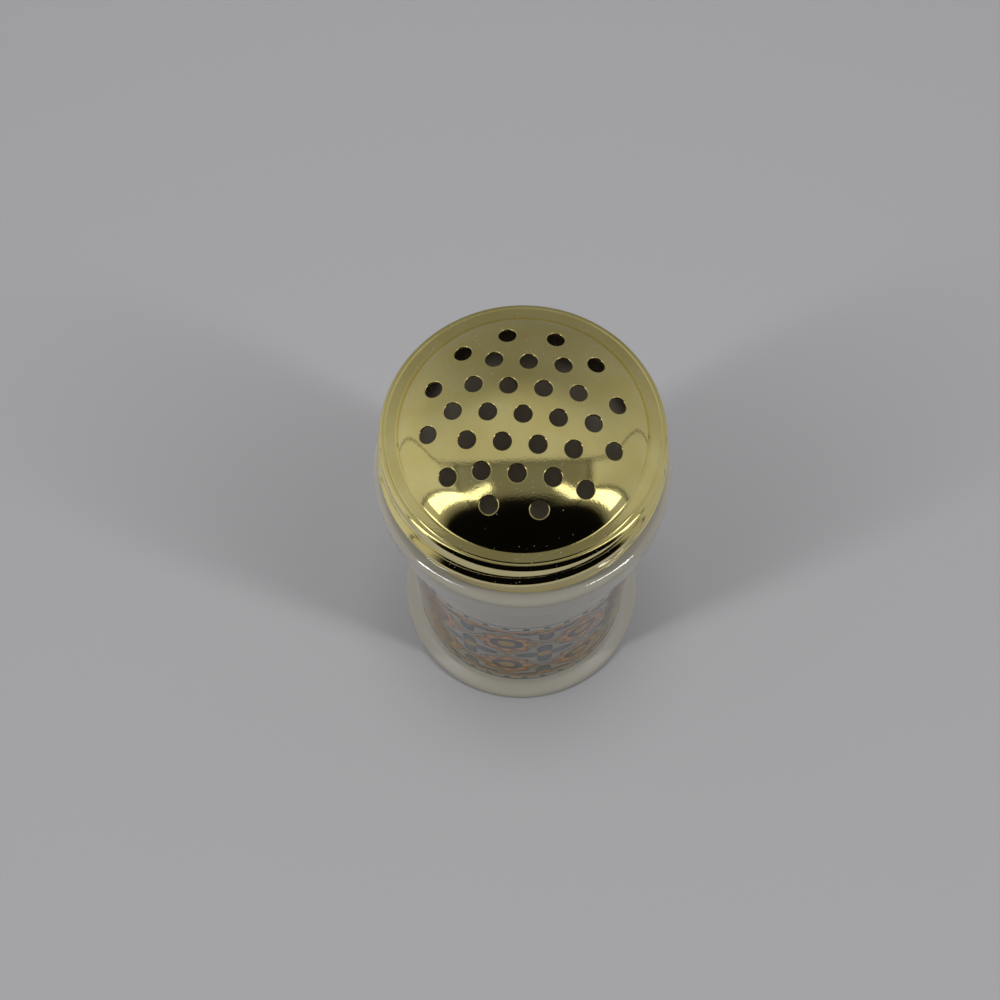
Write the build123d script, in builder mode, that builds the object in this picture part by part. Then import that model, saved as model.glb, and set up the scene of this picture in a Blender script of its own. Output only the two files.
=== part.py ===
from build123d import *
import os
from math import sqrt

# Parmesan shaker: a waisted, glazed jar on a round foot, closed by a pressed,
# perforated screw lid that seats on a sealing ring. Millimetres, +Z up, with the
# origin at the middle of the foot, on the table. Profiles are (radius, height).

# Driving dimensions of the whole
rim_height = 120.0        # lid's rim, above the table
rim_radius = 32.5         # lid, upper part of the skirt
sheet = 0.5               # lid's metal
seal_thickness = 1.0      # under the rim; the ring over it slopes up from there

# Jar
foot_radius = 35.5
foot_lip = 3.4            # height of the foot's rounded edge
foot_ring_inner = 29.0    # inside of the ring that the jar stands on
foot_recess = 1.8         # hollow under the floor
cove_height = 5.4         # where the foot runs up into the body
body_radius = 30.8
shoulder_radius = 35.5
shoulder_foot = 88.0      # where the shoulder starts to swell out of the body
shoulder_low = 91.5
shoulder_high = 102.2
neck_foot = 102.9
neck_radius = 30.3
bore_radius = 27.2
floor_height = 6.5
foot_edge_round = 1.5
foot_top_round = 1.6
foot_cove = 2.5
shoulder_cove = 4.0       # hollow curve from the body out to the shoulder
shoulder_under_round = 3.5
shoulder_over_round = 2.0
neck_cove = 1.5
lip_round = 1.0
floor_round = 6.0

# Lid
dome_rise = 10.1          # crown above the rim
crown_radius = 66.0       # sphere of the perforated part
crown_edge = 21.2         # where the crown turns over into the flank
crease_radius = 28.5      # foot of the dome, inner edge of the ring round it
ring_fall = 0.7           # the ring slopes down this far to the rim
rim_round = 1.2           # outer edge of the ring
step_hollow = 0.6
step_round = 1.2
band_radius = 33.4        # lower, wider part of the skirt
band_step = 6.6           # start of the step, below the rim
band_step_depth = 1.0
skirt_depth = 15.4
skirt_bottom_radius = 33.1
hem_radius = 0.8          # rolled lower edge

# Shaker holes: a hexagonal field with a ring round it
hole_radius = 2.2
hole_pitch = 7.75
field_rings = 2
ring_radius = 21.2
ring_count = 12
pattern_turn = -7.6       # degrees, hexagon's row against +X
punch_depth = 3.0

# Sealing ring
seal_inner = 27.9
seal_outer = 30.6
seal_ease = 0.03          # the lid turns on it

os.makedirs("parts", exist_ok=True)

# Jar
neck_top = rim_height - sheet - seal_thickness

with BuildPart() as jar:
    with BuildSketch(Plane.XZ) as jar_section:
        with BuildLine():
            Polyline(
                (0, foot_recess),
                (foot_ring_inner - foot_recess / 2, foot_recess),
                (foot_ring_inner, 0),
                (foot_radius, 0),
                (foot_radius, foot_lip),
                (body_radius, cove_height),
                (body_radius, shoulder_foot),
                (shoulder_radius, shoulder_low),
                (shoulder_radius, shoulder_high),
                (neck_radius, neck_foot),
                (neck_radius, neck_top),
                (bore_radius, neck_top),
                (bore_radius, floor_height),
                (0, floor_height),
                close=True,
            )
        make_face()
        corner_rounds = {
            (foot_radius, 0): foot_edge_round,
            (foot_radius, foot_lip): foot_top_round,
            (body_radius, cove_height): foot_cove,
            (body_radius, shoulder_foot): shoulder_cove,
            (shoulder_radius, shoulder_low): shoulder_under_round,
            (shoulder_radius, shoulder_high): shoulder_over_round,
            (neck_radius, neck_foot): neck_cove,
            (neck_radius, neck_top): lip_round,
            (bore_radius, neck_top): lip_round,
            (bore_radius, floor_height): floor_round,
        }
        for (corner_r, corner_z), round_radius in corner_rounds.items():
            # The sketch keeps its own flat axes: radius along X, height along Y
            corner = jar_section.vertices().sort_by_distance((corner_r, corner_z))[0]
            fillet(corner, round_radius)
    revolve(axis=Axis.Z)
jar.part.label = "jar"
export_step(jar.part, "parts/jar.step")

# Lid: a formed shell, made as one profile line thickened inwards
crown_top = rim_height + dome_rise
crease_height = rim_height + ring_fall
crown_centre = crown_top - crown_radius
crown_edge_height = crown_centre + sqrt(crown_radius**2 - crown_edge**2)
skirt_bottom = rim_height - skirt_depth

with BuildPart() as lid:
    with BuildSketch(Plane.XZ):
        with BuildLine():
            crown = RadiusArc((0, crown_top), (crown_edge, crown_edge_height), crown_radius)
            TangentArc(crown @ 1, (crease_radius, crease_height), tangent=crown % 1)
            FilletPolyline(
                (crease_radius, crease_height),
                (rim_radius, rim_height),
                (rim_radius, rim_height - band_step),
                (band_radius, rim_height - band_step - band_step_depth),
                (skirt_bottom_radius, skirt_bottom),
                radius=[rim_round, step_hollow, step_round],
            )
            offset(amount=sheet, side=Side.RIGHT)
        make_face()
        with Locations((skirt_bottom_radius - hem_radius, skirt_bottom + hem_radius)):
            Circle(hem_radius)
    revolve(axis=Axis.Z)

    # Holes, each square to the crown, so their axes meet at the sphere's centre
    punches = []
    for row in range(-field_rings, field_rings + 1):
        for place in range(2 * field_rings + 1 - abs(row)):
            along = (place - field_rings + abs(row) / 2) * hole_pitch
            across = row * hole_pitch * sqrt(3) / 2
            punches.append(Vector(along, across))
    for number in range(ring_count):
        punches.append(Vector(ring_radius, 0).rotate(Axis.Z, (number + 0.5) * 360 / ring_count))
    centre = Vector(0, 0, crown_centre)
    punch_planes = []
    for punch in punches:
        flat = punch.rotate(Axis.Z, pattern_turn)
        surface = flat + centre + Vector(0, 0, sqrt(crown_radius**2 - flat.length**2))
        punch_planes.append(Plane(surface, z_dir=surface - centre))
    with Locations(*punch_planes):
        Hole(hole_radius, depth=punch_depth)
lid.part.label = "lid"
export_step(lid.part, "parts/lid.step")

# Sealing ring, between the jar's lip and the sloping underside of the lid's ring
slope = ring_fall / (rim_radius - crease_radius)
sheet_drop = sheet * sqrt(1 + slope**2)
seal_top_inner = crease_height - (seal_inner - crease_radius) * slope - sheet_drop - seal_ease
seal_top_outer = crease_height - (seal_outer - crease_radius) * slope - sheet_drop - seal_ease

with BuildPart() as sealing_ring:
    with BuildSketch(Plane.XZ):
        with BuildLine():
            Polyline(
                (seal_inner, neck_top),
                (seal_outer, neck_top),
                (seal_outer, seal_top_outer),
                (seal_inner, seal_top_inner),
                close=True,
            )
        make_face()
    revolve(axis=Axis.Z)
sealing_ring.part.label = "sealing_ring"
export_step(sealing_ring.part, "parts/sealing_ring.step")

print("holes", len(punches), "neck top", neck_top, "overall height", crown_top)
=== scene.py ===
# %% [markdown]
# # A cheese shaker: glazed jar, gold-toned lid
#
# The real thing is three pieces: a spool-shaped ceramic jar, a pressed sheet-metal screw lid with a
# field of holes in its dome, and the soft ring that seals the two. The solids of those pieces are
# loaded first, as a fixed frame. Every mesh made below stands where its solid stands, and rides on
# the body that the solid belongs to.

# %% Load the solids
from math import cos, hypot, pi, radians, sin, sqrt, tan, tau

import bpy
from mathutils import Matrix, Vector
from mathutils.geometry import delaunay_2d_cdt


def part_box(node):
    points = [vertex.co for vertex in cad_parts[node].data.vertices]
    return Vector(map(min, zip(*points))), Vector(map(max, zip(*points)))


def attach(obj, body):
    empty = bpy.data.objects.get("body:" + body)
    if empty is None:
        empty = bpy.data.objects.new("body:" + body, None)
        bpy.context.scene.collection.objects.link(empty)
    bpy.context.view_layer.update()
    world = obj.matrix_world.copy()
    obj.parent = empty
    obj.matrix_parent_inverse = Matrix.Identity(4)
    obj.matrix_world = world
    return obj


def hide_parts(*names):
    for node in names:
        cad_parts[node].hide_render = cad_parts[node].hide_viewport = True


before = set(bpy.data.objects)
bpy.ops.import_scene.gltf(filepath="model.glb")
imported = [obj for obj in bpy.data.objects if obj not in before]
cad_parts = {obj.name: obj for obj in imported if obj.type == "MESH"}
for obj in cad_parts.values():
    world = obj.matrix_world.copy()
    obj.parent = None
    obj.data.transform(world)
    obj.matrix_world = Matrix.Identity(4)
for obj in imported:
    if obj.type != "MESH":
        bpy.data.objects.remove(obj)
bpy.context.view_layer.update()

mm = 0.001
scene = bpy.context.scene

# %% [markdown]
# ## Three small tools
#
# `colour` turns an sRGB hex value, as read off a paint chart, into the linear numbers that shaders
# work in. `add` puts one node into a node tree, with its settings and whatever feeds its inputs, and
# hands back the output that the next node needs, so a finish reads from top to bottom like a recipe.
# `new_material` starts an empty material, which each finish below fills.

# %% Colour, node and material helpers
def colour(hex_text):
    channels = [int(hex_text[i:i + 2], 16) / 255 for i in (1, 3, 5)]
    return [c / 12.92 if c <= 0.04045 else ((c + 0.055) / 1.055) ** 2.4 for c in channels] + [1.0]


def add(tree, kind, inputs=None, out=0, **settings):
    node = tree.nodes.new("ShaderNode" + kind)
    for name, value in settings.items():
        setattr(node, name, value)
    for key, value in (inputs or {}).items():
        if isinstance(value, bpy.types.NodeSocket):
            tree.links.new(value, node.inputs[key])
        else:
            node.inputs[key].default_value = value
    return node.outputs[out] if len(node.outputs) else node


def new_material(name):
    material = bpy.data.materials.new(name)
    material.use_nodes = True
    material.node_tree.nodes.clear()
    return material, material.node_tree


print("mid grey in linear light", [round(c, 3) for c in colour("#808080")])

# %% [markdown]
# ## Turned forms
#
# Jar, lid skirt and ring are all round, so each is an outline carried round the upright axis. An
# outline is a short list of corners with the radius of each corner's round, and the helper divides
# the rounds and the straight runs finely enough for mirror-like reflections. A `bulge` function may
# push the wall out as it goes round, and that is how a screw thread gets its helix. Blender's Screw
# modifier turns outlines too, but it keeps the wall the same all the way round.

# %% Rounded outlines
arc_step = radians(9)
run_step = 0.9 * mm


def rounded_path(corners, longest_run=run_step):
    points = []
    last = len(corners) - 1
    for i, (r, z, corner_round) in enumerate(corners):
        here = Vector((r, z))
        if i in (0, last) or corner_round == 0:
            stretch = [here]
        else:
            back = (Vector(corners[i - 1][:2]) - here).normalized()
            ahead = (Vector(corners[i + 1][:2]) - here).normalized()
            half = back.angle(ahead) / 2
            centre = here + (back + ahead).normalized() * corner_round / sin(half)
            start = here + back * corner_round / tan(half) - centre
            turn = start.angle_signed(here + ahead * corner_round / tan(half) - centre)
            steps = max(2, round(abs(turn) / arc_step))
            stretch = []
            for k in range(steps + 1):
                spoke = start.copy()
                spoke.rotate(Matrix.Rotation(-turn * k / steps, 2))
                stretch.append(centre + spoke)
        if points:
            run = stretch[0] - points[-1]
            pieces = max(1, round(run.length / longest_run))
            points += [points[-1] + run * k / pieces for k in range(1, pieces)]
        points += stretch
    return points


print("outline test", len(rounded_path([(0, 0, 0), (0.03, 0, 0.002), (0.03, 0.05, 0)])), "points")


# %% Turned walls and finished pieces
def turned(outline, around, bulge=None):
    vertices, faces = [], []
    count = len(outline)
    for i in range(around):
        angle = tau * i / around
        for r, z in outline:
            wide = r + bulge(r, z, angle) if bulge else r
            vertices.append(Vector((wide * cos(angle), wide * sin(angle), z)))
        here, there = i * count, (i + 1) % around * count
        faces += [(here + k, there + k, there + k + 1, here + k + 1) for k in range(count - 1)]
    return vertices, faces


def make_piece(name, vertices, faces, material, body, node, normals=None):
    mesh = bpy.data.meshes.new(name)
    mesh.from_pydata(vertices, [], faces)
    mesh.validate()
    mesh.shade_smooth()
    mesh.set_sharp_from_angle(angle=radians(40))
    if normals:
        mesh.normals_split_custom_set_from_vertices(normals)
    mesh.materials.append(material)
    piece = bpy.data.objects.new(name, mesh)
    scene.collection.objects.link(piece)
    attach(piece, body)
    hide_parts(node)
    print(name, len(mesh.vertices), "points", len(mesh.polygons), "faces")
    return piece


print("turning test", len(turned([(0.03, 0), (0.03, 0.05)], 8)[1]), "faces")

# %% [markdown]
# ## Camera
#
# The photo looks steeply down, about 70 degrees below level, from less than 30 cm away, so the lid
# looms over a foot that shrinks away below it. The place and tilt here come from the pattern of holes,
# which is regular on the real lid, and from the round of the lid's rim.

# %% Camera
camera_place = Vector((-5.66, -115.93, 387.93)) * mm
look_down = radians(69.56)
camera_roll = radians(-1.95)
focal_share = 1.3                      # focal length over picture width

forward = Vector((0, cos(look_down), -sin(look_down)))
level_right = Vector((1, 0, 0))
level_up = level_right.cross(forward)
right = cos(camera_roll) * level_right + sin(camera_roll) * level_up
up = cos(camera_roll) * level_up - sin(camera_roll) * level_right

lens = bpy.data.cameras.new("camera")
lens.sensor_width = 36
lens.lens = focal_share * lens.sensor_width
lens.clip_start = 0.01
camera = bpy.data.objects.new("camera", lens)
camera.matrix_world = Matrix.Translation(camera_place) @ Matrix((right, up, -forward)).transposed().to_4x4()
scene.collection.objects.link(camera)
scene.camera = camera

# %% [markdown]
# ## Stage and light
#
# A polished lid shows its surroundings, so they are arranged as for silverware: the object stands in a
# tent of pale cloth that is open at the front. Modelled cloths would be in the way of a camera at the
# back, so the tent is worked out in the world's nodes, as a brightness for every direction: pale overhead
# and at the sides, dimmer behind and in a strip above the opening, with dark seams where the cloths meet.
# It is dark where the tent is open, which gives the deep reflection at the near side of the dome. In
# mirrors the table counts only close to the jar, and beyond that the cloth goes on below the horizon.
# Matt surfaces get less of the cloth's light from overhead and more from low down, so that upright walls
# aren't left dark.
#
# A tall strip light on each side of the opening draws bright lines on the glaze and throws the pair of
# shadows. On the lid the same strips would burn out, so the lid has its own pair on the same bearings,
# which is dimmer and wider and reaches lower. A panel overhead, kept out of mirror reflections, lights
# the table and the inside of the jar.

# %% Floor
floor_half = 3.0
mirrored_half = 0.11                   # the part of the floor that mirrors show


# Matt grey laminate, which shows soft shadows and no clear reflection
def pale_floor():
    material, tree = new_material("matt_table_laminate")
    shader = add(tree, "BsdfPrincipled", {"Base Color": colour("#B0B0B2"), "Roughness": 0.55, "IOR": 1.45})
    add(tree, "OutputMaterial", {"Surface": shader})
    return material


table_top = pale_floor()
floor_points = [(x * half, y * half, 0) for half in (mirrored_half, floor_half)
                for x, y in ((-1, -1), (1, -1), (1, 1), (-1, 1))]
floor_round = [(k, k + 4, (k + 1) % 4 + 4, (k + 1) % 4) for k in range(4)]
floors = []
for name, faces in (("floor_under_jar", [(0, 1, 2, 3)]), ("floor_round_about", floor_round)):
    mesh = bpy.data.meshes.new(name)
    mesh.from_pydata(floor_points, [], faces)
    mesh.materials.append(table_top)
    plane = bpy.data.objects.new(name, mesh)
    plane.visible_glossy = name == "floor_under_jar"
    scene.collection.objects.link(plane)
    floors.append(plane)
print("floor", 2 * floor_half, "m square")

# %% Cloths and seams
cloth_overhead = 0.46                  # brightness, where 1 is white in the picture
cloth_front_strip = 0.17               # cloth between the seam overhead and the opening
cloth_sides = 0.48
cloth_behind = 0.20
side_lean = -0.14                      # the left wall is brighter by this share, and the right one dimmer
side_focus = 2.5                       # how fast the walls dim towards the back
walls_end = 0.72                       # share of straight up where the walls start to turn into the roof
roof_start = 0.95                      # and where they have done so
cloth_edge = (-0.006, 0.006)           # where one cloth ends and the next is full, across their edge

seam_shade = 0.12                      # share of the cloth's brightness left on a seam
seam_slope = 0.055                     # slope from straight up, backwards, to the seam overhead
seam_bow = 0.36                        # how far that seam bends back at its ends
seam_bend = 3.0                        # how late it bends: a power of the share that points sideways
front_strip_half = 0.47                # half the width of the front strip
corner_side = 0.31                     # sine of the angle from straight sideways to the corner seams
overhead_seam = 0.020                  # half widths of the seams
strip_seam = 0.026
corner_seam = 0.030

tent_opening = 0.002                   # brightness in the opening
opening_side = 0.55                    # sine of the angle from straight sideways to the opening's edges
opening_top = 0.20                     # slope from straight up, forwards, to the opening's upper edge
side_edge = (-0.04, 0.08)              # where the cloth ends and the opening is dark, across those edges
top_edge = (-0.02, 0.02)

matt_overhead = 0.45                   # how strongly the cloth lights matt surfaces, from overhead
matt_low = 3.0                         # and from low down
low_end = 0.25                         # shares of straight up between which the one turns into the other
overhead_start = 0.55
backdrop = 0.33                        # what the camera sees beyond the floor
print("cloth", cloth_overhead, "overhead", cloth_sides, "at the sides", tent_opening, "in the opening")


# %% Cloth by direction
def cloth_brightness(tree, x, y, z):
    forward_share = add(tree, "Math", {0: y, 1: -1.0}, operation="MULTIPLY")
    wide = add(tree, "Math", {0: x}, operation="ABSOLUTE")
    level_length = add(tree, "VectorMath", {0: add(tree, "CombineXYZ", {0: x, 1: y})}, out="Value",
                       operation="LENGTH")

    # How far a direction points past each edge
    past = {}
    slopes = {"straight_seam": (z, seam_slope), "corner": (level_length, -corner_side),
              "opening_side": (level_length, -opening_side), "opening_top": (z, -opening_top)}
    for edge, (base, slope) in slopes.items():
        past[edge] = add(tree, "Math", {0: base, 1: slope, 2: forward_share}, operation="MULTIPLY_ADD")
    bow = add(tree, "Math", {0: wide, 1: seam_bend}, operation="POWER")
    past["seam"] = add(tree, "Math", {0: bow, 1: seam_bow, 2: past["straight_seam"]},
                       operation="MULTIPLY_ADD")
    past["strip_end"] = add(tree, "Math", {0: wide, 1: front_strip_half}, operation="SUBTRACT")

    # The same as masks, which go from 0 to 1 across the edge
    beyond = {}
    soft_edges = {"seam": cloth_edge, "strip_end": cloth_edge,
                  "opening_side": side_edge, "opening_top": top_edge}
    for edge, (start, end) in soft_edges.items():
        beyond[edge] = add(tree, "MapRange", {"Value": past[edge], "From Min": start, "From Max": end})

    sideways = add(tree, "Math", {0: wide, 1: level_length}, operation="DIVIDE")
    to_side = add(tree, "Math", {0: sideways, 1: side_focus}, operation="POWER")
    even_walls = add(tree, "MapRange", {"Value": to_side, "To Min": cloth_behind, "To Max": cloth_sides})
    lean = add(tree, "Math", {0: x, 1: side_lean, 2: 1.0}, operation="MULTIPLY_ADD")
    walls = add(tree, "Math", {0: even_walls, 1: lean}, operation="MULTIPLY")
    front_strip = add(tree, "Mix", {0: beyond["strip_end"], 2: cloth_front_strip, 3: cloth_sides})
    roof = add(tree, "Mix", {0: beyond["seam"], 2: cloth_overhead, 3: front_strip})
    height = add(tree, "MapRange", {"Value": z, "From Min": walls_end, "From Max": roof_start},
                 interpolation_type="SMOOTHSTEP")
    cloth = add(tree, "Mix", {0: height, 2: walls, 3: roof})

    # Seams dim the cloth. Those at the strip's ends lie in front of the seam overhead, and the corner
    # seams beside the strip.
    left_over = {}
    for edge, half in (("seam", overhead_seam), ("strip_end", strip_seam), ("corner", corner_seam)):
        off = add(tree, "Math", {0: past[edge]}, operation="ABSOLUTE")
        left_over[edge] = add(tree, "MapRange", {"Value": off, "From Max": half, "To Min": seam_shade,
                                                 "To Max": 1.0})
    strip_ends = add(tree, "Mix", {0: beyond["seam"], 2: 1.0, 3: left_over["strip_end"]})
    corners = add(tree, "Mix", {0: beyond["strip_end"], 2: 1.0, 3: left_over["corner"]})
    for share in (left_over["seam"], strip_ends, corners):
        cloth = add(tree, "Math", {0: cloth, 1: share}, operation="MULTIPLY")

    in_opening = add(tree, "Math", {0: beyond["opening_side"], 1: beyond["opening_top"]},
                     operation="MULTIPLY")
    return add(tree, "Mix", {0: in_opening, 2: cloth, 3: tent_opening})


print("seam half widths", overhead_seam, strip_seam, corner_seam)


# %% Light tent
def light_tent():
    world = bpy.data.worlds.new("light_tent")
    world.use_nodes = True
    world.cycles.sampling_method = "NONE"
    tree = world.node_tree
    tree.nodes.clear()
    x, y, z = add(tree, "SeparateXYZ", {0: add(tree, "TexCoord", out="Generated")}).node.outputs
    brightness = cloth_brightness(tree, x, y, z)
    matt = add(tree, "MapRange", {"Value": z, "From Min": low_end, "From Max": overhead_start,
                                  "To Min": matt_low, "To Max": matt_overhead})
    on_matt = add(tree, "Math", {0: brightness, 1: matt}, operation="MULTIPLY")
    rays = add(tree, "LightPath").node.outputs
    lit = add(tree, "Mix", {0: rays["Is Diffuse Ray"], 2: brightness, 3: on_matt})
    seen = add(tree, "Mix", {0: rays["Is Camera Ray"], 2: lit, 3: backdrop})
    room = add(tree, "Background", {"Color": colour("#FDFDFF"), "Strength": seen})
    add(tree, "OutputWorld", {"Surface": room})
    return world


scene.world = light_tent()
scene.view_settings.view_transform = "Standard"
print("tent", len(scene.world.node_tree.nodes), "nodes")

# %% Lamps
strip_distance = 0.80
strip_top = 3.10
strip_kinds = {"lid": (0.14, 0.15, 2.2), "rest": (0.65, 0.08, 14.0)}     # foot and width in metres, watts
strip_bearings = {"left": radians(206), "right": radians(333)}
panel_place = (0, 0.17, 2.0)
panel_side = 0.6
panel_power = 9.6


def lamp(name, place, aim, width, height, power, mirrored):
    light = bpy.data.lights.new(name, "AREA")
    light.shape = "RECTANGLE"
    light.size = width
    light.size_y = height
    light.energy = power
    box = bpy.data.objects.new(name, light)
    box.location = place
    box.rotation_euler = (Vector(aim) - Vector(place)).to_track_quat("-Z", "Y").to_euler()
    box.visible_camera = False
    box.visible_glossy = mirrored
    scene.collection.objects.link(box)
    return box


strips = {share: [] for share in strip_kinds}
for side, bearing in strip_bearings.items():
    for share, (foot, width, power) in strip_kinds.items():
        middle = (foot + strip_top) / 2
        place = (strip_distance * cos(bearing), strip_distance * sin(bearing), middle)
        strips[share].append(lamp(f"{side}_strip_for_{share}", place, (0, 0, middle), width,
                                  strip_top - foot, power, True))
lamp("overhead_panel", panel_place, (0, 0, 0), panel_side, panel_side, panel_power, False)

# %% [markdown]
# ## Gold-toned lid metal
#
# The lid is tinplate, pressed to shape, polished and lacquered a pale gold. The crown is bright but not
# a perfect mirror: drawing leaves a fine grain that breaks up the edges of reflections. The ring round
# the dome is a little more satiny. Fine specks of dust, pale and matt, lie in drifts on the metal. Images
# of scratches and dust could be laid over it, but noise at real sizes needs no file and has no seam. The
# grain is drawn coarser than the real one, because it would be too fine to show otherwise.

# %% Grain, smears and dust
grain_size = 0.45 * mm
grain_depth = 0.10 * mm
grain_strength = 0.075
smear_size = 9 * mm
polish_range = (0.06, 0.10)            # roughness of the polish, between smears and on them
ring_roughness = 0.12
ring_inner = 28.4 * mm
ring_outer = 31.6 * mm
dust_spacing = 0.9 * mm
dust_speck = 0.115                     # a speck's radius over the spacing
dust_drift = 9 * mm
drift_range = (0.36, 0.62)             # noise values of clean metal and of a full drift
bare_range = (0.92, 0.45)              # shares of the places for specks that stay empty there
dust_roughness = 0.5                   # added to the metal's
lacquer_tones = ((0.35, "#EADA8C"), (0.7, "#F3E69E"))      # noise values and their colours
print("grain in mm", round(grain_size / mm, 2), "dust specks", round(2 * dust_speck * dust_spacing / mm, 2))


# %% Lacquered gold-toned tinplate
def gold_toned_tinplate():
    material, tree = new_material("lacquered_gold_toned_tinplate")
    place = add(tree, "TexCoord", out="Object")
    axes = add(tree, "SeparateXYZ", {0: place}).node
    level = add(tree, "CombineXYZ", {0: axes.outputs[0], 1: axes.outputs[1]})
    from_axis = add(tree, "VectorMath", {0: level}, out="Value", operation="LENGTH")

    inside = add(tree, "Math", {0: from_axis, 1: ring_inner}, operation="GREATER_THAN")
    outside = add(tree, "Math", {0: from_axis, 1: ring_outer}, operation="LESS_THAN")
    on_ring = add(tree, "Math", {0: inside, 1: outside}, operation="MULTIPLY")

    smears = add(tree, "TexNoise", {"Vector": place, "Scale": 1 / smear_size, "Detail": 4.0}, out="Fac")
    lacquer = add(tree, "ValToRGB", {"Fac": smears})
    for stop, (position, tone) in zip(lacquer.node.color_ramp.elements, lacquer_tones):
        stop.position = position
        stop.color = colour(tone)

    cells = add(tree, "TexVoronoi", {"Vector": place, "Scale": 1 / dust_spacing}, out="Distance").node
    speck = add(tree, "Math", {0: cells.outputs["Distance"], 1: dust_speck}, operation="LESS_THAN")
    drift = add(tree, "TexNoise", {"Vector": place, "Scale": 1 / dust_drift, "Detail": 3.0}, out="Fac")
    bare_share = add(tree, "MapRange", {"Value": drift,
                                        "From Min": drift_range[0], "From Max": drift_range[1],
                                        "To Min": bare_range[0], "To Max": bare_range[1]})
    few = add(tree, "Math", {0: add(tree, "SeparateColor", {0: cells.outputs["Color"]}), 1: bare_share},
              operation="GREATER_THAN")
    dust = add(tree, "Math", {0: speck, 1: few}, operation="MULTIPLY")
    dusty = add(tree, "Mix", {0: dust, 6: lacquer, 7: colour("#C8C0AE")}, out=2, data_type="RGBA")

    polish = add(tree, "MapRange", {"Value": smears, "To Min": polish_range[0], "To Max": polish_range[1]})
    satin = add(tree, "Mix", {0: on_ring, 2: polish, 3: ring_roughness})
    roughness = add(tree, "Math", {0: dust, 1: dust_roughness, 2: satin}, operation="MULTIPLY_ADD")

    grain = add(tree, "TexNoise", {"Vector": place, "Scale": 1 / grain_size, "Detail": 2.0}, out="Fac")
    bump = add(tree, "Bump", {"Height": grain, "Strength": grain_strength, "Distance": grain_depth})
    bare_metal = add(tree, "Math", {0: 1.0, 1: dust}, operation="SUBTRACT")
    shader = add(tree, "BsdfPrincipled", {"Base Color": dusty, "Metallic": bare_metal,
                                          "Roughness": roughness, "Normal": bump})
    add(tree, "OutputMaterial", {"Surface": shader})
    print(material.name, len(tree.nodes), "nodes")
    return material


gold = gold_toned_tinplate()

# %% [markdown]
# ## The lid's dome
#
# A shallow sphere turns over into a tight flank that drops to the sloping ring. The punched field has a
# hexagon of holes with a ring of twelve round it. Cutting holes with booleans would leave ragged
# triangles that show in a mirror finish, so the sheet is laid out flat, with a few rings of points
# round every hole, triangulated once, and then lifted to the dome's height. The true normals of the
# dome are stored on the points, and each hole's edge is rolled over, as a punch leaves it.

# %% Dome shape
sheet = 0.5 * mm
lid_low, lid_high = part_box("lid")
skirt_depth = 15.4 * mm
dome_rise = 10.1 * mm
crown_radius = 66.0 * mm
crown_edge = 21.2 * mm
crease_radius = 28.5 * mm
ring_fall = 0.7 * mm                   # the ring round the dome slopes down to the rim
rim_z = lid_low.z + skirt_depth
crease_z = rim_z + ring_fall
crown_top = rim_z + dome_rise
crown_centre = crown_top - crown_radius

edge_point = Vector((crown_edge, crown_centre + sqrt(crown_radius ** 2 - crown_edge ** 2)))
edge_normal = Vector((crown_edge, edge_point.y - crown_centre)).normalized()
to_crease = edge_point - Vector((crease_radius, crease_z))
flank_radius = to_crease.length_squared / (2 * to_crease.dot(edge_normal))
flank_centre = edge_point - edge_normal * flank_radius


def dome(x, y):
    """The dome's point over (x, y) and the way it faces there."""
    r = hypot(x, y)
    if r <= crown_edge:
        centre_r, centre_z, radius = 0.0, crown_centre, crown_radius
    else:
        centre_r, centre_z, radius = flank_centre.x, flank_centre.y, flank_radius
    rise = sqrt(radius ** 2 - (r - centre_r) ** 2)
    lean = (r - centre_r) / radius / max(r, 1e-9)
    return Vector((x, y, centre_z + rise)), Vector((x * lean, y * lean, rise / radius))


print("flank radius in mm", round(flank_radius / mm, 2))
print("dome top in mm", round(crown_top / mm, 2), "on the solid", round(lid_high.z / mm, 2))

# %% Hole places
hole_radius = 2.02 * mm                # straight part, inside the rolled edge
hole_pitch = 7.75 * mm
ring_radius = 21.2 * mm
ring_count = 12
field_rings = 2
pattern_turn = radians(-7.6)


def hole_places():
    places = []
    for row in range(-field_rings, field_rings + 1):
        for place in range(2 * field_rings + 1 - abs(row)):
            places.append(Vector(((place - field_rings + abs(row) / 2) * hole_pitch,
                                  row * hole_pitch * sqrt(3) / 2)))
    for number in range(ring_count):
        angle = (number + 0.5) * tau / ring_count
        places.append(Vector((ring_radius * cos(angle), ring_radius * sin(angle))))
    return [Matrix.Rotation(pattern_turn, 2) @ place for place in places]


holes = hole_places()
print("holes", len(holes))

# %% Pierced sheet
around_hole = 40
around_lid = 240
sheet_edge = 24.8 * mm                 # where the pierced sheet meets the turned flank
edge_roll = 0.23 * mm
collar_rings = (0.0, 0.35 * mm, 0.85 * mm)
fill_spacing = 1.0 * mm
collar_gap = 0.6                       # shares of that spacing kept free round a hole's collar
edge_gap = 0.7                         # and inside the sheet's edge


def hole_frame(flat):
    """Middle of a hole on the crown's sphere, the hole's axis and two directions across it."""
    axis = Vector((flat.x, flat.y, sqrt(crown_radius ** 2 - flat.length_squared))).normalized()
    across = Vector((0, 1, 0)).cross(axis).normalized()
    return Vector((0, 0, crown_centre)) + axis * crown_radius, axis, across, axis.cross(across)


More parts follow.
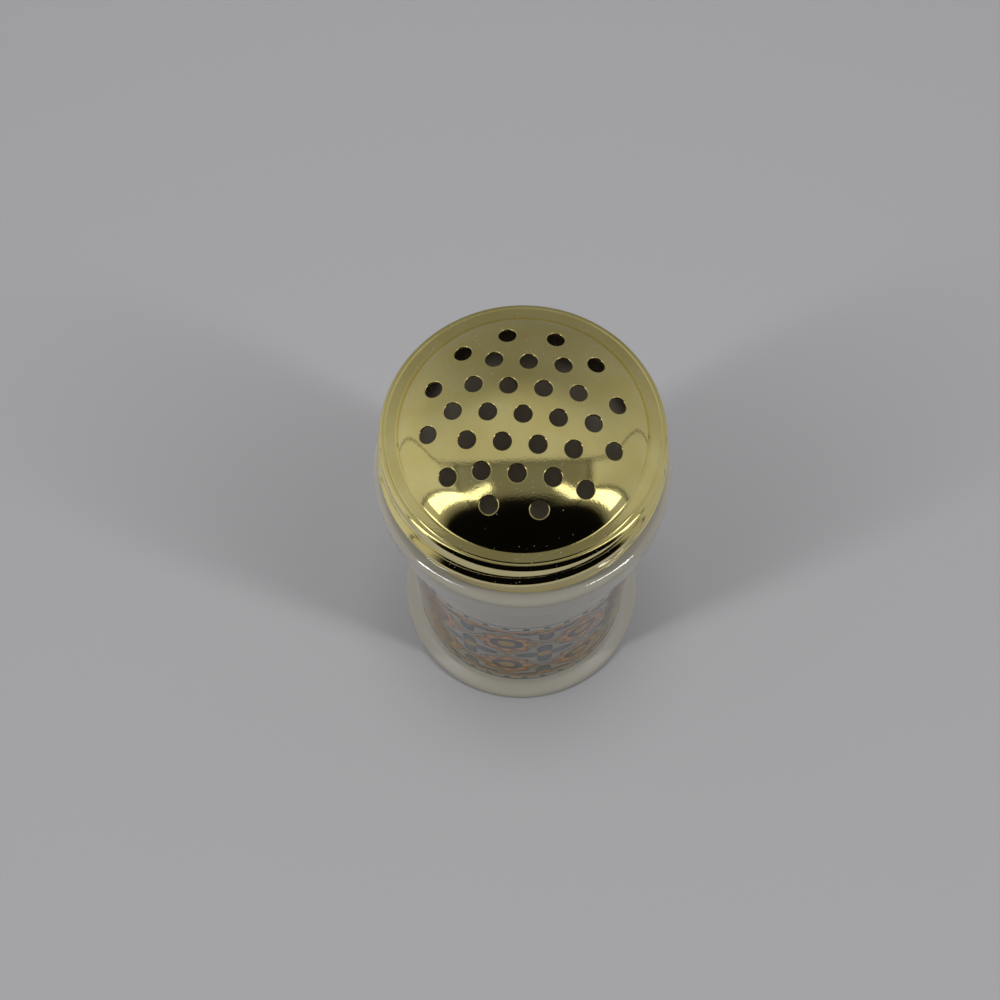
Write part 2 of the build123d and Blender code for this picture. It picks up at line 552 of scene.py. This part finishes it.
def flat_layout():
    points, loops = [], []
    for flat in holes:
        middle, axis, across, along = hole_frame(flat)
        for n, collar in enumerate(collar_rings):
            start = len(points)
            for k in range(around_hole):
                angle = tau * (k + n / 2) / around_hole
                reach = hole_radius + edge_roll + collar
                spot = middle + (across * cos(angle) + along * sin(angle)) * reach
                points.append(spot.xy)
            if n == 0:
                loops.append(list(range(start, start + around_hole)))
    start = len(points)
    points += [Vector((sheet_edge * cos(tau * k / around_lid), sheet_edge * sin(tau * k / around_lid)))
               for k in range(around_lid)]
    loops.append(list(range(start, start + around_lid)))
    rows = int(sheet_edge / fill_spacing) + 1
    keep_off = hole_radius + edge_roll + collar_rings[-1] + collar_gap * fill_spacing
    for row in range(-rows, rows + 1):
        for place in range(-rows, rows + 1):
            spot = Vector(((place + row % 2 / 2) * fill_spacing, row * fill_spacing * sqrt(3) / 2))
            if spot.length < sheet_edge - edge_gap * fill_spacing:
                if all((spot - flat).length > keep_off for flat in holes):
                    points.append(spot)
    return points, loops


layout, layout_loops = flat_layout()
print("flat layout", len(layout), "points", len(layout_loops), "loops")


# %% Lift the sheet to the dome
def pierced_sheet():
    edges = [(loop[k], loop[(k + 1) % len(loop)]) for loop in layout_loops for k in range(len(loop))]
    in_mm = [point / mm for point in layout]      # the triangulation works better than on metres
    tolerance = 1e-6
    _, _, triangles, origins, _, _ = delaunay_2d_cdt(in_mm, edges, [], 0, tolerance)
    number = {i: (source[0] if source else -1) for i, source in enumerate(origins)}
    hole_of = {point: n for n, loop in enumerate(layout_loops[:-1]) for point in loop}
    kept = []
    for triangle in triangles:
        corners = [number[i] for i in triangle]
        owners = {hole_of.get(corner, -1) for corner in corners}
        if len(owners) > 1 or -1 in owners:
            kept.append(corners)
    vertices, normals, faces = [], [], []
    for spot in layout:
        point, facing = dome(spot.x, spot.y)
        vertices.append(point)
        normals.append(facing)
    depth = len(vertices)
    vertices += [point - facing * sheet for point, facing in zip(vertices, normals)]
    normals += [-facing for facing in normals]
    for a, b, c in kept:
        upward = (layout[b] - layout[a]).cross(layout[c] - layout[a]) > 0
        faces.append((a, b, c) if upward else (a, c, b))
        faces.append((a + depth, c + depth, b + depth) if upward else (a + depth, b + depth, c + depth))
    return vertices, normals, faces, depth


dome_points, dome_normals, dome_faces, inner_start = pierced_sheet()
print("pierced sheet", len(dome_points), "points", len(dome_faces), "faces")

# %% Rolled hole edges
roll_steps = 5
wall_foot = 0.9                        # share of the sheet where the hole's straight wall ends


def hole_walls(vertices, normals, faces):
    for flat, loop in zip(holes, layout_loops):
        middle, axis, across, along = hole_frame(flat)
        rings = [loop]
        for step in range(1, roll_steps + 2):
            tilt = min(step / roll_steps, 1.0) * pi / 2
            ring = []
            for k, outer in enumerate(loop):
                angle = tau * k / around_hole
                spoke = across * cos(angle) + along * sin(angle)
                level = (dome_points[outer] - middle).dot(axis)
                drop = edge_roll * (1 - cos(tilt)) if step <= roll_steps else wall_foot * sheet
                reach = hole_radius + edge_roll * (1 - sin(tilt))
                ring.append(len(vertices))
                vertices.append(middle + spoke * reach + axis * (level - drop))
                normals.append(Vector((0, 0, 0)))
            rings.append(ring)
        rings.append([outer + inner_start for outer in loop])
        for upper, lower in zip(rings, rings[1:]):
            for k in range(around_hole):
                n = (k + 1) % around_hole
                faces.append((upper[k], upper[n], lower[n], lower[k]))


hole_walls(dome_points, dome_normals, dome_faces)
print("with hole walls", len(dome_points), "points", len(dome_faces), "faces")

# %% [markdown]
# ## The lid's skirt and its rolled thread
#
# Below the dome the sheet runs out in a gently sloping ring with a fine groove, turns down over a rounded
# rim and ends in a rolled hem. The thread is rolled into the skirt, so it shows outside as a step that
# climbs to the right, sharp above and drawn out below. It has two starts, so that the lid comes off in
# less than a turn. The thread is a formula for how far the wall stands out at each height and angle, and
# the same formula shapes the neck of the jar.

# %% Thread
thread_pitch = 9.0 * mm
thread_starts = 2
thread_level = rim_z - 5.6 * mm        # upper edge of the step at the front
front_angle = -pi / 2
thread_depth = 0.85 * mm
thread_rise = 0.18                     # share of the pitch taken by the sharp upper side
below_rim = (3.4 * mm, 5.4 * mm)       # depths between which the thread grows out of the skirt
above_hem = (1.0 * mm, 4.0 * mm)       # heights between which it does so over the hem


def smooth(value, low, high):
    t = min(max((value - low) / (high - low), 0.0), 1.0)
    return t * t * (3 - 2 * t)


def thread_wave(z, angle):
    turns = (angle - front_angle) / tau
    below = ((thread_level - z) / thread_pitch + thread_starts * turns) % 1.0
    return smooth(below, 0.0, thread_rise) * smooth(1.0 - below, 0.0, 1.0 - thread_rise)


def skirt_bulge(r, z, angle):
    start = smooth(rim_z - z, *below_rim)
    end = smooth(z - lid_low.z, *above_hem)
    return thread_depth * thread_wave(z, angle) * start * end


print("lead in mm", thread_pitch * thread_starts / mm)

# %% Skirt measures
rim_radius = 32.5 * mm
rim_round = 1.15 * mm
hem_radius = 33.15 * mm
hem_round = 0.78 * mm
flank_steps = 22
crease_round = 0.8 * mm
groove_radius = 31.1 * mm              # fine groove in the sloping ring
groove_half = 0.25 * mm
groove_depth = 0.12 * mm
groove_round = 0.2 * mm
ring_slope = ring_fall / (rim_radius - crease_radius)
skirt_break = 5.0 * mm                 # below the rim, where the skirt starts to widen
skirt_round = 3.0 * mm
hem_corner = hem_round - 0.01 * mm     # two such rounds just fit across the hem
hem_outside = 1.2 * mm                 # heights of the hem, outside and inside
hem_inside = 1.6 * mm
hem_shoulder = 2.1 * mm                # where the sheet stands up out of the hem
bend_round = 0.3 * mm
crease_points = 4                      # points of the flank that the crease's round takes the place of
inner_gap = 0.15 * mm                  # from the flank's inner line to the ring's
fine_run = 0.4 * mm                    # longest run between points of the thin sheet
print("slope of the ring", round(ring_slope, 3))


# %% Lid outline
def flank_line(inset):
    """The flank from the pierced sheet's edge to the crease, or the same line inside the sheet."""
    line = []
    for k in range(flank_steps + 1):
        r = sheet_edge + (crease_radius - sheet_edge) * k / flank_steps
        point, facing = dome(r, 0)
        line.append(Vector((point.x - facing.x * inset, point.z - facing.z * inset)))
    return line


def ring_top(r):
    return crease_z - (r - crease_radius) * ring_slope


def lid_outline():
    inner_radius = rim_radius - sheet
    sheet_drop = sheet * sqrt(1 + ring_slope ** 2)
    inside_line = flank_line(sheet)
    while inside_line[-1].y < ring_top(inside_line[-1].x) - sheet_drop:
        inside_line.pop()
    inner_crease = inside_line[-1].x + inner_gap
    hem_low = lid_low.z
    hem_inner = hem_radius - 2 * hem_round
    flank = flank_line(0)
    groove = [(groove_radius + across, ring_top(groove_radius + across) - down, groove_round)
              for across, down in ((-groove_half, 0), (0, groove_depth), (groove_half, 0))]
    turned_down = rounded_path([
        (*flank[-crease_points], 0),
        (crease_radius, crease_z, crease_round),
        *groove,
        (rim_radius, rim_z, rim_round),
        (rim_radius, rim_z - skirt_break, skirt_round),
        (hem_radius, hem_low + hem_outside, bend_round),
        (hem_radius, hem_low, hem_corner),
        (hem_inner, hem_low, hem_corner),
        (hem_inner, hem_low + hem_inside, bend_round),
        (inner_radius, hem_low + hem_shoulder, bend_round),
        (inner_radius, ring_top(inner_radius) - sheet_drop, rim_round - sheet),
        (inner_crease, ring_top(inner_crease) - sheet_drop, 0),
    ], longest_run=fine_run)
    return flank[:-crease_points] + turned_down + inside_line[::-1]


outline = lid_outline()
print("lid outline", len(outline), "points")

# %% Weld the dome to the skirt
skirt_points, skirt_faces = turned(outline[::-1], around_lid, skirt_bulge)
weld_distance = 0.002 * mm


def weld(first, second):
    """Both point lists as one, with second's points that lie on first's dropped."""
    grid = {tuple(round(c / weld_distance) for c in point): i for i, point in enumerate(first)}
    joined, place = list(first), []
    for point in second:
        key = tuple(round(c / weld_distance) for c in point)
        if key not in grid:
            joined.append(point)
            grid[key] = len(joined) - 1
        place.append(grid[key])
    return joined, place


lid_points, skirt_place = weld(dome_points, skirt_points)
lid_faces = dome_faces + [tuple(skirt_place[i] for i in face) for face in skirt_faces]
lid_normals = dome_normals + [Vector((0, 0, 0))] * (len(lid_points) - len(dome_points))
lid = make_piece("lid_shell", lid_points, lid_faces, gold, "lid", "lid", lid_normals)

# %% [markdown]
# ## Glazed stoneware with a fired print
#
# The jar is stoneware under a clear, glossy glaze on a cream-white body. The glaze thins out to satin on
# the foot, and the ring that the jar stands on is bare clay. On the pale inside, shade is painted: its
# colour
# darkens towards the mouth, where the lid shades it. A transfer print was fired on round the straight wall:
# here a band of large rosettes on sand-coloured diamonds, with slate-blue leaf crosses between them, dark
# outlines and a scalloped border. An image could be wrapped round the wall. Here the print is drawn by
# arithmetic on the angle round the jar and the height, so it stays sharp close up and has no seam. Each
# motif is a signed distance, below 0 inside the motif, which serves for its fill and for its outline.

# %% Print measures
body_radius = 30.8 * mm
print_low = 6.6 * mm
print_high = 65.0 * mm
print_middle = (print_low + print_high) / 2
print_half = (print_high - print_low) / 2
border_depth = 5.6 * mm
field_half = print_half - border_depth
tiles_round = 9
tile_rows = 2
tile_size = tau * body_radius / tiles_round
scallops_round = 4 * tiles_round
scallop_width = tau * body_radius / scallops_round
line_half = 0.26 * mm
edge_soft = 0.10 * mm
rosette_disc = 4.4 * mm                # radii of the round middles
rosette_eye = 2.4 * mm
cross_eye = 2.2 * mm
petal_edge = 1.6 * mm                  # how far inside a motif's edge its second colour starts
leaf_edge = 1.8 * mm
bead_height = 3.5 * mm                 # above the field
print("tile in mm", round(tile_size / mm, 2), "by", round(2 * field_half / tile_rows / mm, 2))

# %% Print colours
ink = colour("#1C1918")
slate = colour("#2A2C31")
pale_slate = colour("#4F5154")
orange = colour("#A05F15")
peach = colour("#B28238")
ochre = colour("#9C7923")
sand = colour("#8C774A")
ground = colour("#8E8779")
scallop_rings = ((2.7 * mm, ink), (2.35 * mm, peach), (1.4 * mm, orange))
bead_rings = ((1.0 * mm, slate),)
print("rings in a scallop", len(scallop_rings), "in a bead", len(bead_rings))


# %% Painting by distance
def paint_inside(tree, look, distance, reach, where, tint):
    """Paint tint over look where distance is under reach, within the mask where."""
    inside = add(tree, "MapRange", {"Value": distance, "From Min": reach + edge_soft,
                                    "From Max": reach - edge_soft}, interpolation_type="SMOOTHSTEP")
    amount = add(tree, "Math", {0: inside, 1: where}, operation="MULTIPLY")
    return add(tree, "Mix", {0: amount, 6: look, 7: tint}, out=2, data_type="RGBA")


def paint_line(tree, look, distance, middle, where, tint):
    """Paint a line of tint where distance is close to middle, within the mask where."""
    past_middle = add(tree, "Math", {0: distance, 1: middle}, operation="SUBTRACT")
    off = add(tree, "Math", {0: past_middle}, operation="ABSOLUTE")
    return paint_inside(tree, look, off, line_half, where, tint)


def place_in_repeat(tree, value, scale, offset):
    """Where a point lies in its repeat, from -0.5 to 0.5."""
    run = add(tree, "Math", {0: value, 1: scale, 2: offset}, operation="MULTIPLY_ADD")
    share = add(tree, "Math", {0: run}, operation="FRACT")
    return add(tree, "Math", {0: share, 1: 0.5}, operation="SUBTRACT")


print("line in mm", round(2 * line_half / mm, 2))


# %% Rosettes and leaf crosses
def motif(tree, angle, height, offset, size, lobe, lobes):
    """Distances, in metres, from a lobed form in every tile, from its middle and from its diamond."""
    u = place_in_repeat(tree, angle, tiles_round / tau, offset)
    v = place_in_repeat(tree, height, tile_rows / (2 * field_half), offset + tile_rows / 2)
    reach = add(tree, "VectorMath", {0: add(tree, "CombineXYZ", {0: u, 1: v})}, out="Value",
                operation="LENGTH")
    bearing = add(tree, "Math", {0: v, 1: u}, operation="ARCTAN2")
    turns = add(tree, "Math", {0: bearing, 1: lobes}, operation="MULTIPLY")
    wave = add(tree, "Math", {0: turns}, operation="COSINE")
    edge = add(tree, "Math", {0: wave, 1: lobe, 2: size}, operation="MULTIPLY_ADD")
    form = add(tree, "Math", {0: reach, 1: edge}, operation="SUBTRACT")
    spread = add(tree, "Math", {0: add(tree, "Math", {0: u}, operation="ABSOLUTE"),
                                1: add(tree, "Math", {0: v}, operation="ABSOLUTE")}, operation="ADD")
    diamond = add(tree, "Math", {0: spread, 1: 0.5}, operation="SUBTRACT")
    return [add(tree, "Math", {0: distance, 1: tile_size}, operation="MULTIPLY")
            for distance in (form, reach, diamond)]


def paint_field(tree, look, angle, height, in_field):
    cross, cross_reach, _ = motif(tree, angle, height, offset=0.5, size=0.25, lobe=0.13, lobes=4.0)
    rosette, rosette_reach, diamond = motif(tree, angle, height, offset=0.0, size=0.335, lobe=0.05,
                                            lobes=8.0)
    fills = [
        (diamond, 0, sand),
        (cross, 0, slate), (cross, -leaf_edge, pale_slate), (cross_reach, cross_eye, ochre),
        (rosette, 0, orange), (rosette, -petal_edge, peach),
        (rosette_reach, rosette_disc, slate), (rosette_reach, rosette_eye, ochre),
    ]
    look = add(tree, "Mix", {0: in_field, 6: look, 7: ground}, out=2, data_type="RGBA")
    for distance, reach, tint in fills:
        look = paint_inside(tree, look, distance, reach, in_field, tint)
    for distance, middle in ((diamond, 0), (cross, 0), (rosette, 0), (rosette_reach, rosette_disc)):
        look = paint_line(tree, look, distance, middle, in_field, ink)
    return look


print("rosettes", tiles_round * tile_rows)


# %% Scalloped border
def paint_border(tree, look, angle, from_middle, in_border, outside):
    above = add(tree, "Math", {0: from_middle, 1: field_half}, operation="SUBTRACT")
    for offset, lift, rings in ((0.0, 0.0, scallop_rings), (0.5, bead_height, bead_rings)):
        share = place_in_repeat(tree, angle, scallops_round / tau, offset)
        along = add(tree, "Math", {0: share, 1: scallop_width}, operation="MULTIPLY")
        up = add(tree, "Math", {0: above, 1: lift}, operation="SUBTRACT")
        reach = add(tree, "VectorMath", {0: add(tree, "CombineXYZ", {0: along, 1: up})}, out="Value",
                    operation="LENGTH")
        for radius, tint in rings:
            look = paint_inside(tree, look, reach, radius, in_border, tint)
    for level in (field_half, print_half - line_half):
        look = paint_line(tree, look, from_middle, level, outside, ink)
    return look


print("scallops", 2 * scallops_round)

# %% Glaze measures
waver_size = 4 * mm                    # the print's lines waver, as if drawn by hand
waver_reach = 0.9 * mm
cloud_size = 22 * mm                   # faint clouds in the glaze's tone
ripple_size = 3.5 * mm                 # orange peel of the glaze
ripple_depth = 0.06 * mm
ripple_strength = 0.12
gloss_roughness = 0.06
satin_roughness = 0.50
clay_roughness = 0.75
glaze_skin = 1.5 * mm                  # what lies deeper than this under the body's wall is inside
painted_mouth_shade = (98 * mm, 108 * mm)      # heights between which painted shade darkens the inside towards the mouth
foot_satin = (8 * mm, 4 * mm)          # heights between which the gloss gives way to satin
bare_height = 0.4 * mm                 # below this the clay is bare
print("glaze ripple in mm", round(ripple_size / mm, 2), "wide", round(ripple_depth / mm, 2), "deep")


# %% Glazed stoneware
def glazed_stoneware():
    material, tree = new_material("glazed_stoneware_with_print")
    place = add(tree, "TexCoord", out="Object")
    waver = add(tree, "TexNoise", {"Vector": place, "Scale": 1 / waver_size, "Detail": 2.0}, out="Color")
    centred = add(tree, "VectorMath", {0: waver, 1: (0.5, 0.5, 0.5)}, operation="SUBTRACT")
    shift = add(tree, "VectorMath", {0: centred, "Scale": waver_reach}, operation="SCALE")
    hand_drawn = add(tree, "VectorMath", {0: place, 1: shift}, operation="ADD")
    x, y, z = add(tree, "SeparateXYZ", {0: hand_drawn}).node.outputs
    angle = add(tree, "Math", {0: y, 1: x}, operation="ARCTAN2")
    height = add(tree, "Math", {0: z, 1: print_middle}, operation="SUBTRACT")
    from_middle = add(tree, "Math", {0: height}, operation="ABSOLUTE")
    from_axis = add(tree, "VectorMath", {0: add(tree, "CombineXYZ", {0: x, 1: y})}, out="Value",
                    operation="LENGTH")
    outside = add(tree, "Math", {0: from_axis, 1: body_radius - glaze_skin}, operation="GREATER_THAN")

    bands = []
    for half in (field_half, print_half):
        within = add(tree, "MapRange", {"Value": from_middle, "From Min": half + edge_soft,
                                        "From Max": half - edge_soft}, interpolation_type="SMOOTHSTEP")
        bands.append(add(tree, "Math", {0: within, 1: outside}, operation="MULTIPLY"))
    in_field, in_print = bands
    in_border = add(tree, "Math", {0: in_print, 1: in_field}, operation="SUBTRACT")

    clouds = add(tree, "TexNoise", {"Vector": place, "Scale": 1 / cloud_size, "Detail": 3.0}, out="Fac")
    look = add(tree, "Mix", {0: clouds, 6: colour("#A49F92"), 7: colour("#AEAA9E")}, out=2,
               data_type="RGBA")
    look = paint_field(tree, look, angle, height, in_field)
    look = paint_border(tree, look, angle, from_middle, in_border, outside)

    level = add(tree, "SeparateXYZ", {0: place}, out=2)
    # Painted shade: towards the mouth, under the lid, the inside turns from pale cream to dark brown
    painted_shade_to_mouth = add(tree, "MapRange", {"Value": level, "From Min": painted_mouth_shade[0],
                                      "From Max": painted_mouth_shade[1]})
    inside = add(tree, "Mix", {0: painted_shade_to_mouth, 6: colour("#EFE8DA"), 7: colour("#3A2D22")}, out=2,
                 data_type="RGBA")
    look = add(tree, "Mix", {0: outside, 6: inside, 7: look}, out=2, data_type="RGBA")
    bare = add(tree, "MapRange", {"Value": level, "From Min": bare_height + edge_soft,
                                  "From Max": bare_height - edge_soft}, interpolation_type="SMOOTHSTEP")
    look = add(tree, "Mix", {0: bare, 6: look, 7: colour("#B7AE99")}, out=2, data_type="RGBA")

    ripple = add(tree, "TexNoise", {"Vector": place, "Scale": 1 / ripple_size, "Detail": 1.0}, out="Fac")
    bump = add(tree, "Bump", {"Height": ripple, "Strength": ripple_strength, "Distance": ripple_depth})
    on_foot = add(tree, "MapRange", {"Value": level, "From Min": foot_satin[0], "From Max": foot_satin[1]})
    glaze = add(tree, "Mix", {0: on_foot, 2: gloss_roughness, 3: satin_roughness})
    roughness = add(tree, "Mix", {0: bare, 2: glaze, 3: clay_roughness})
    shader = add(tree, "BsdfPrincipled", {"Base Color": look, "Roughness": roughness, "IOR": 1.6,
                                          "Normal": bump})
    add(tree, "OutputMaterial", {"Surface": shader})
    print(material.name, len(tree.nodes), "nodes")
    return material


stoneware = glazed_stoneware()

# %% [markdown]
# ## The jar
#
# One turned outline makes the whole jar, inside and out: foot ring, foot flange, straight body, shoulder
# ring, neck, lip, bore and floor. The bore could be cut out of a solid form, but one outline keeps both
# sides of the wall in one list. The neck carries the other half of the thread, low and rounded, as a
# glazed thread has to be.

# %% Jar measures
jar_low, jar_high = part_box("jar")
foot_radius = 35.5 * mm
foot_ring_inner = 29.0 * mm            # inside of the ring that the jar stands on
foot_recess = 1.8 * mm                 # hollow under the floor
foot_lip = 3.4 * mm
cove_height = 5.4 * mm                 # where the foot runs up into the body
shoulder_radius = 35.5 * mm
shoulder_foot = 88.0 * mm
shoulder_low = 91.5 * mm
shoulder_high = 102.2 * mm
neck_foot = 102.9 * mm
neck_radius = 30.3 * mm
neck_top = jar_high.z
bore_radius = 27.2 * mm
floor_height = 6.5 * mm
print("wall in mm", round((body_radius - bore_radius) / mm, 2))
print("jar's height in mm", round((neck_top - jar_low.z) / mm, 2))
print("neck's height in mm", round((neck_top - neck_foot) / mm, 2))

# %% Jar
around_jar = 240
neck_thread_depth = 1.25 * mm
neck_thread_low = (104.6 * mm, 106.2 * mm)       # heights between which the thread grows out of the neck
neck_thread_high = (1.6 * mm, 3.2 * mm)          # and depths below the lip
neck_slack = 0.05 * mm                 # what lies further in than this isn't the neck's outer wall


def neck_bulge(r, z, angle):
    if r < neck_radius - neck_slack:
        return 0.0
    start = smooth(z, *neck_thread_low)
    end = smooth(neck_top - z, *neck_thread_high)
    return neck_thread_depth * thread_wave(z, angle) * start * end


def jar_outline():
    """Corners as radius, height and round, from the middle of the recess under the floor to the floor."""
    return rounded_path([
        (0, foot_recess, 0),
        (foot_ring_inner - foot_recess / 2, foot_recess, 1.0 * mm),
        (foot_ring_inner, 0, 0.5 * mm),
        (foot_radius, 0, 1.5 * mm),
        (foot_radius, foot_lip, 1.6 * mm),
        (body_radius, cove_height, 2.5 * mm),
        (body_radius, shoulder_foot, 4.0 * mm),
        (shoulder_radius, shoulder_low, 3.5 * mm),
        (shoulder_radius, shoulder_high, 2.0 * mm),
        (neck_radius, neck_foot, 1.5 * mm),
        (neck_radius, neck_top, 1.0 * mm),
        (bore_radius, neck_top, 1.0 * mm),
        (bore_radius, floor_height, 6.0 * mm),
        (0, floor_height, 0),
    ])


jar_points, jar_faces = turned(jar_outline(), around_jar, neck_bulge)
jar_points, jar_place = weld([], jar_points)
jar_faces = [tuple(dict.fromkeys(jar_place[i] for i in face)) for face in jar_faces]
jar = make_piece("jar_body", jar_points, jar_faces, stoneware, "jar", "jar")

# %% [markdown]
# ## The sealing ring
#
# A soft white washer of closed-cell foam lies inside the lid, and the jar's lip presses into it. It is
# hidden until the lid comes off. It is turned like the jar, and its top slopes as the lid's ring does. Its
# finish is matt, with the fine cells of the foam.

# %% Closed-cell foam
cell_size = 0.5 * mm
cell_depth = 0.1 * mm
cell_strength = 0.3


def sealing_foam():
    material, tree = new_material("closed_cell_foam")
    place = add(tree, "TexCoord", out="Object")
    cells = add(tree, "TexVoronoi", {"Vector": place, "Scale": 1 / cell_size}, out="Distance")
    tone = add(tree, "Mix", {0: cells, 6: colour("#DAD8D0"), 7: colour("#E6E4DD")}, out=2, data_type="RGBA")
    bump = add(tree, "Bump", {"Height": cells, "Strength": cell_strength, "Distance": cell_depth})
    shader = add(tree, "BsdfPrincipled", {"Base Color": tone, "Roughness": 0.7, "IOR": 1.5, "Normal": bump})
    add(tree, "OutputMaterial", {"Surface": shader})
    print(material.name, len(tree.nodes), "nodes")
    return material


foam = sealing_foam()

# %% Foam washer
seal_low, seal_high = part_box("sealing_ring")
seal_inner = 27.9 * mm
seal_round = 0.25 * mm
around_seal = 160
seal_middle = (seal_low.z + seal_high.z) / 2
seal_edge = seal_high.z - (seal_high.x - seal_inner) * ring_slope
seal_outline = rounded_path([
    (seal_inner, seal_middle, 0),
    (seal_inner, seal_low.z, seal_round),
    (seal_high.x, seal_low.z, seal_round),
    (seal_high.x, seal_edge, seal_round),
    (seal_inner, seal_high.z, seal_round),
    (seal_inner, seal_middle, 0),
])
seal_points, seal_faces = turned(seal_outline, around_seal)
seal_points, seal_place = weld([], seal_points)
seal_faces = [tuple(seal_place[i] for i in face) for face in seal_faces]
seal = make_piece("sealing_washer", seal_points, seal_faces, foam, "seal", "sealing_ring")

# %% [markdown]
# ## Which strips light what
#
# The lid gets the dimmer pair of strips, and everything else the brighter pair. Blender calls this light
# linking: a lamp lights only the objects in its receiver collection.

# %% Share out the strips
for share, receivers in (("lid", [lid]), ("rest", [jar, seal] + floors)):
    lit = bpy.data.collections.new("lit_by_strips_for_" + share)
    for receiver in receivers:
        lit.objects.link(receiver)
    for strip in strips[share]:
        strip.light_linking.receiver_collection = lit
